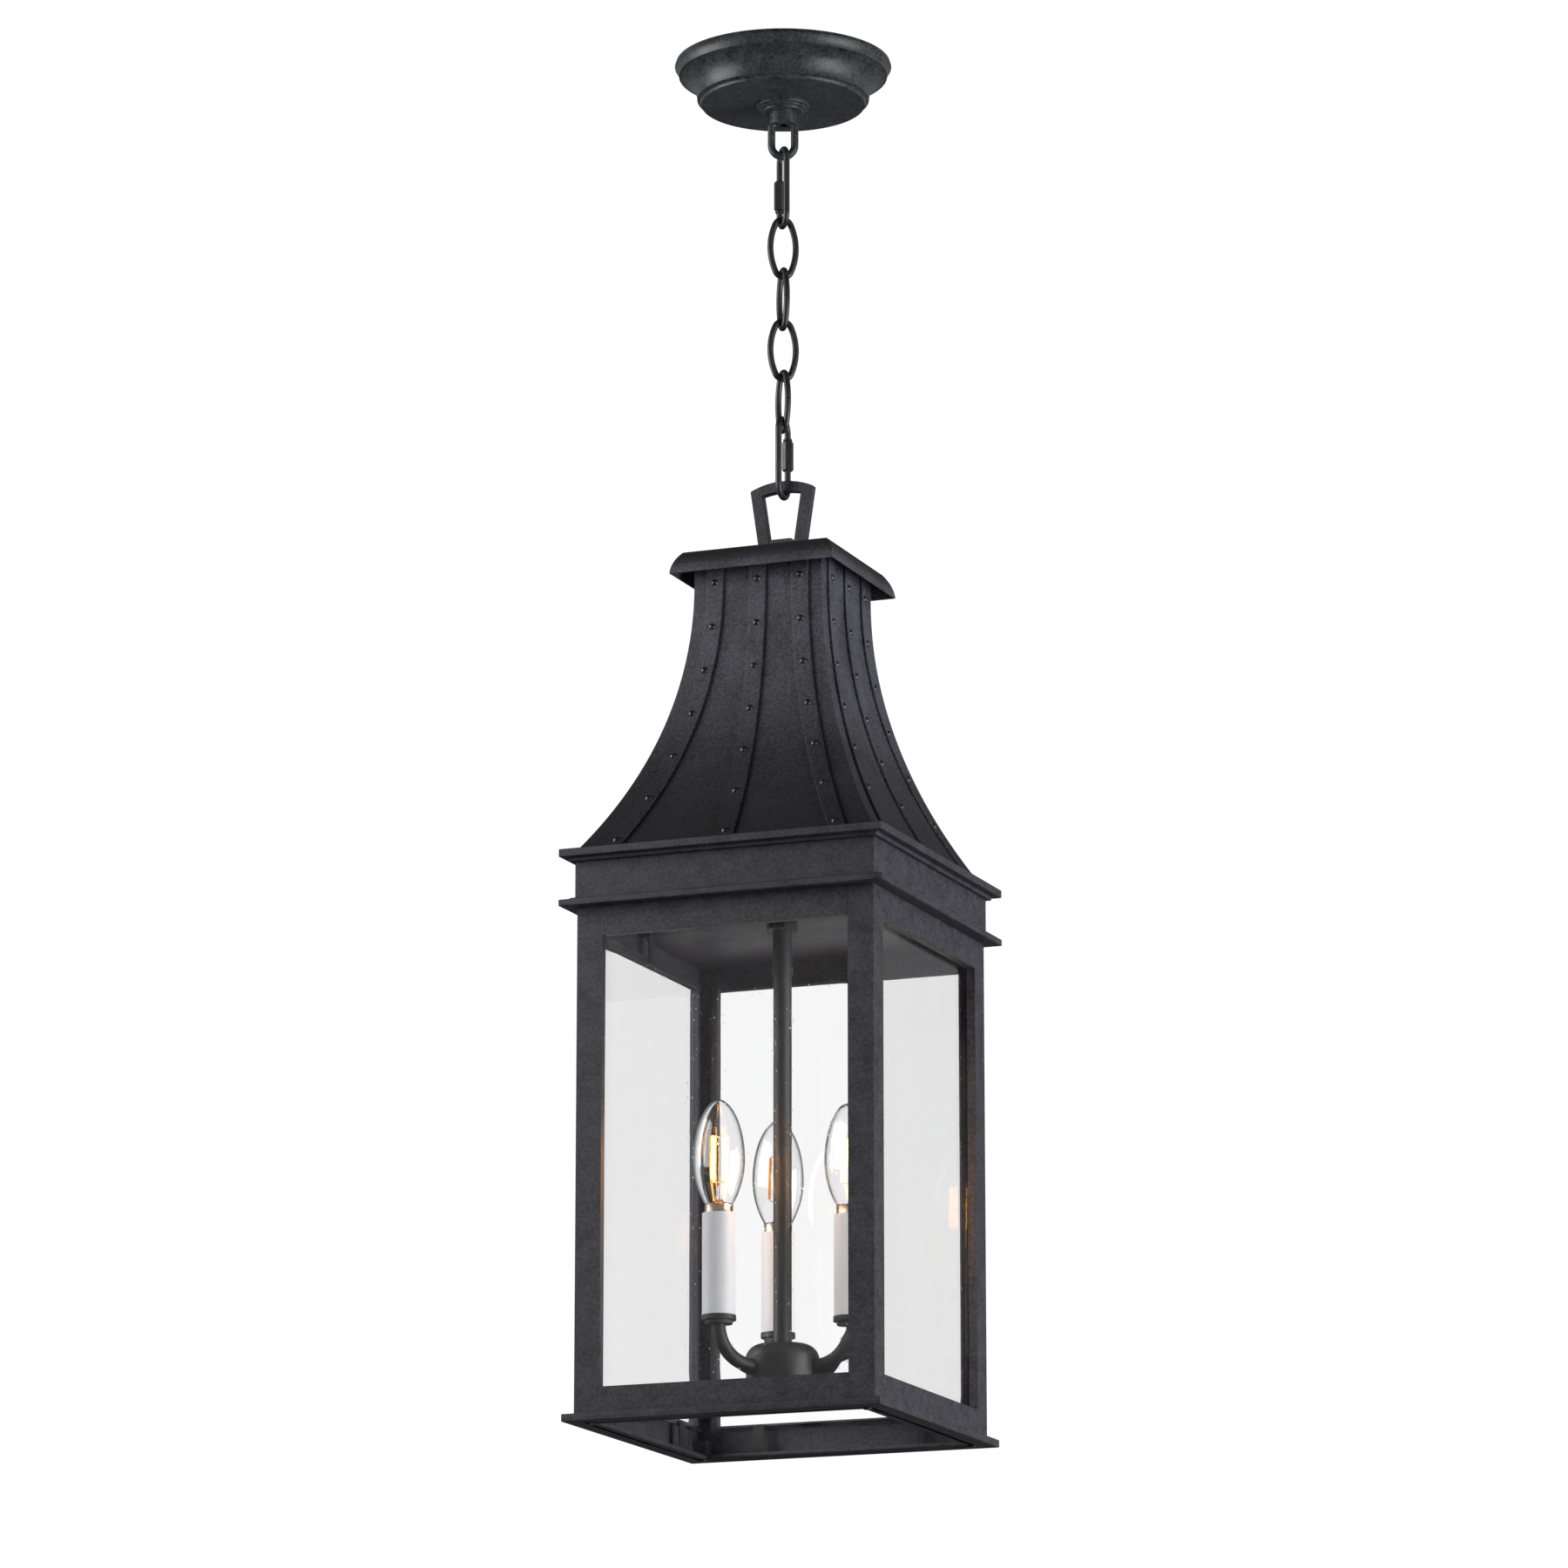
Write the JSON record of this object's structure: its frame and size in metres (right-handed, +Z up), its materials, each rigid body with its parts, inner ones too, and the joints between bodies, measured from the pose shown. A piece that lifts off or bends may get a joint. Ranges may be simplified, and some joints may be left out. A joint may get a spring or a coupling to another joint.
{
  "type": "hanging lantern",
  "caption": "Square glazed lantern with a flared riveted roof, a candle cluster inside and an open foot, hung by a bail and chain from a round ceiling canopy.",
  "frame": {"origin": "middle of the ceiling strap, on the ceiling plane", "axes": "+Z up to the ceiling; the front pane faces -Y; the bail lies across X"},
  "size_m": [0.2304, 0.2304, 0.9627],
  "materials": {
    "zinc_plated_steel": "zinc plated, satin",
    "brass_fitting": "plain brass, slightly dull",
    "canopy_enamel": "black enamel over spun steel, semi-gloss with a faint mottle",
    "chain_iron": "black powder coat on forged wire",
    "black_iron": "textured black powder coat, satin, fine grey speckle",
    "strap_iron": "textured black powder coat, satin",
    "cluster_iron": "smooth black powder coat, satin",
    "seeded_glass": "clear seeded glass, slightly wavy",
    "clip_steel": "blackened spring steel",
    "candle_white": "satin white tube",
    "socket_phenolic": "moulded black phenolic",
    "bulb_glass": "clear blown glass",
    "filament_amber": "amber coated filament sticks"
  },
  "bodies": {
    "ceiling_fixing": {"mounting_strap": "zinc_plated_steel", "strap_nipple": "zinc_plated_steel", "nipple_locknuts": "zinc_plated_steel", "ground_screw": "brass_fitting", "canopy": "canopy_enamel", "canopy_seat_ring": "canopy_enamel", "canopy_loop": "canopy_enamel"},
    "upper_quick_link": {"quick_link_upper": "chain_iron"},
    "upper_sleeve": {"upper_link_sleeve": "chain_iron"},
    "link_1": {"chain_link_1": "chain_iron"},
    "link_2": {"chain_link_2": "chain_iron"},
    "link_3": {"chain_link_3": "chain_iron"},
    "link_4": {"chain_link_4": "chain_iron"},
    "lower_quick_link": {"quick_link_lower": "chain_iron"},
    "lower_sleeve": {"lower_link_sleeve": "chain_iron"},
    "bulb_1": {"bulb_base_1": "brass_fitting", "bulb_glass_1": "bulb_glass", "bulb_filament_1": "filament_amber"},
    "bulb_2": {"bulb_base_2": "brass_fitting", "bulb_glass_2": "bulb_glass", "bulb_filament_2": "filament_amber"},
    "bulb_3": {"bulb_base_3": "brass_fitting", "bulb_glass_3": "bulb_glass", "bulb_filament_3": "filament_amber"},
    "lantern": {"bail": "black_iron", "bail_coupling": "black_iron", "bail_crossbar": "black_iron", "bottom_flange": "black_iron", "bottom_frame": "black_iron", "bottom_screws": "clip_steel", "candle_arms": "cluster_iron", "candle_cups": "cluster_iron", "candle_sleeves": "candle_white", "ceiling_plate": "black_iron", "corner_posts": "black_iron", "cornice": "black_iron", "frieze": "black_iron", "glass_back": "seeded_glass", "glass_clips": "clip_steel", "glass_front": "seeded_glass", "glass_left": "seeded_glass", "glass_right": "seeded_glass", "hub": "cluster_iron", "hub_finial": "cluster_iron", "lamp_sockets": "socket_phenolic", "lower_cornice": "black_iron", "roof_cap": "black_iron", "roof_locknut": "zinc_plated_steel", "roof_nipple": "zinc_plated_steel", "roof_panel_back": "black_iron", "roof_panel_front": "black_iron", "roof_panel_left": "black_iron", "roof_panel_right": "black_iron", "roof_rivets": "strap_iron", "roof_straps": "strap_iron", "stem": "cluster_iron", "stem_coupling": "cluster_iron", "stem_nuts": "zinc_plated_steel", "window_bottom_rails": "black_iron", "window_top_rails": "black_iron"}
  },
  "joints": [
    {"name": "upper_quick_link_swing", "type": "hinge", "parent": "ceiling_fixing", "child": "upper_quick_link", "pos_m": [0, 0, -0.0674], "axis": [0.9397, 0.342, 0], "range_deg": [-25, 25]},
    {"name": "link_1_swing", "type": "hinge", "parent": "upper_quick_link", "child": "link_1", "pos_m": [0, 0, -0.11765], "axis": [-0.6157, 0.788, 0], "range_deg": [-25, 25]},
    {"name": "link_2_swing", "type": "hinge", "parent": "link_1", "child": "link_2", "pos_m": [0, 0, -0.1544], "axis": [0.788, 0.6157, 0], "range_deg": [-25, 25]},
    {"name": "link_3_swing", "type": "hinge", "parent": "link_2", "child": "link_3", "pos_m": [0, 0, -0.19115], "axis": [-0.6157, 0.788, 0], "range_deg": [-25, 25]},
    {"name": "link_4_swing", "type": "hinge", "parent": "link_3", "child": "link_4", "pos_m": [0, 0, -0.2279], "axis": [0.788, 0.6157, 0], "range_deg": [-25, 25]},
    {"name": "lower_quick_link_twist", "type": "hinge", "parent": "link_4", "child": "lower_quick_link", "pos_m": [0, 0, -0.26465], "axis": [0, 0, -1], "range_deg": [0, 45]},
    {"name": "lantern_swing", "type": "hinge", "parent": "lower_quick_link", "child": "lantern", "pos_m": [0, 0, -0.31211], "axis": [0, 1, 0], "range_deg": [-25, 25]},
    {"name": "upper_sleeve_slide", "type": "slide", "parent": "upper_quick_link", "child": "upper_sleeve", "axis": [0, 0, 1], "range_m": [0, 0.008]},
    {"name": "lower_sleeve_slide", "type": "slide", "parent": "lower_quick_link", "child": "lower_sleeve", "axis": [0, 0, -1], "range_m": [0, 0.008]},
    {"name": "bulb_1_unscrew", "type": "slide", "parent": "lantern", "child": "bulb_1", "axis": [0, 0, 1], "range_m": [0, 0.03]},
    {"name": "bulb_2_unscrew", "type": "slide", "parent": "lantern", "child": "bulb_2", "axis": [0, 0, 1], "range_m": [0, 0.03]},
    {"name": "bulb_3_unscrew", "type": "slide", "parent": "lantern", "child": "bulb_3", "axis": [0, 0, 1], "range_m": [0, 0.03]}
  ]
}
